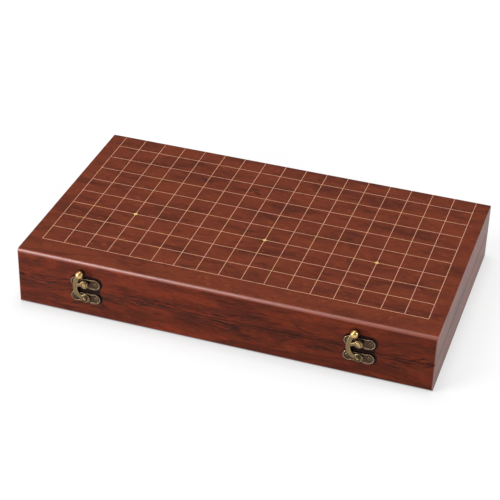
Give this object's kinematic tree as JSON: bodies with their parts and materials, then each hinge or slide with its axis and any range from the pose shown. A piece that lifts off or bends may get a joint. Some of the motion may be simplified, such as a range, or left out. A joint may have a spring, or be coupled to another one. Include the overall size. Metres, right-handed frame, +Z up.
{
  "type": "folding go board",
  "caption": "Hinged wooden case whose two halves fold out flat into a go board, with stone trays inside and swing latches on the front.",
  "frame": {"origin": "middle of the closed case's bottom face, latches and hinge barrels not counted", "axes": "+X to the right along the front long side, +Y to the hinged back, +Z up through the closed case"},
  "size_m": [0.4026, 0.249, 0.06],
  "materials": {
    "rosewood": "satin lacquered red-brown rosewood veneer; the playing lines are gold",
    "antique_brass": "cast brass, darkened in the hollows and rubbed bright on the high parts",
    "hinge_brass": "rolled brass, satin",
    "lining_felt": "flocked cloth lining"
  },
  "bodies": {
    "base": {"lower_panel": "rosewood", "lower_front_rail": "rosewood", "lower_back_rail": "rosewood", "lower_left_rail": "rosewood", "lower_right_rail": "rosewood", "lower_divider": "rosewood", "lower_left_lining": "lining_felt", "lower_right_lining": "lining_felt", "hinge_left_lower_leaf": "hinge_brass", "hinge_left_pin": "hinge_brass", "hinge_right_lower_leaf": "hinge_brass", "hinge_right_pin": "hinge_brass", "hinge_lower_screws": "hinge_brass", "latch_left_lower_plate": "antique_brass", "latch_left_pivot_rivet": "antique_brass", "latch_left_lower_screws": "antique_brass", "latch_right_lower_plate": "antique_brass", "latch_right_pivot_rivet": "antique_brass", "latch_right_lower_screws": "antique_brass"},
    "lid": {"upper_panel": "rosewood", "upper_front_rail": "rosewood", "upper_back_rail": "rosewood", "upper_left_rail": "rosewood", "upper_right_rail": "rosewood", "upper_divider": "rosewood", "upper_left_lining": "lining_felt", "upper_right_lining": "lining_felt", "hinge_left_upper_leaf": "hinge_brass", "hinge_right_upper_leaf": "hinge_brass", "hinge_upper_screws": "hinge_brass", "latch_left_upper_plate": "antique_brass", "latch_left_stud": "antique_brass", "latch_left_upper_screws": "antique_brass", "latch_right_upper_plate": "antique_brass", "latch_right_stud": "antique_brass", "latch_right_upper_screws": "antique_brass"},
    "left_latch_arm": {"latch_left_arm": "antique_brass"},
    "right_latch_arm": {"latch_right_arm": "antique_brass"}
  },
  "joints": [
    {"name": "lid_fold", "type": "hinge", "parent": "base", "child": "lid", "pos_m": [0, 0.1198, 0.03], "axis": [-1, 0, 0], "range_deg": [0, 180]},
    {"name": "left_latch_swing", "type": "hinge", "parent": "base", "child": "left_latch_arm", "pos_m": [-0.1322, -0.11965, 0.0226], "axis": [0, -1, 0], "range_deg": [0, 75]},
    {"name": "right_latch_swing", "type": "hinge", "parent": "base", "child": "right_latch_arm", "pos_m": [0.1322, -0.11965, 0.0226], "axis": [0, -1, 0], "range_deg": [0, 75]}
  ]
}
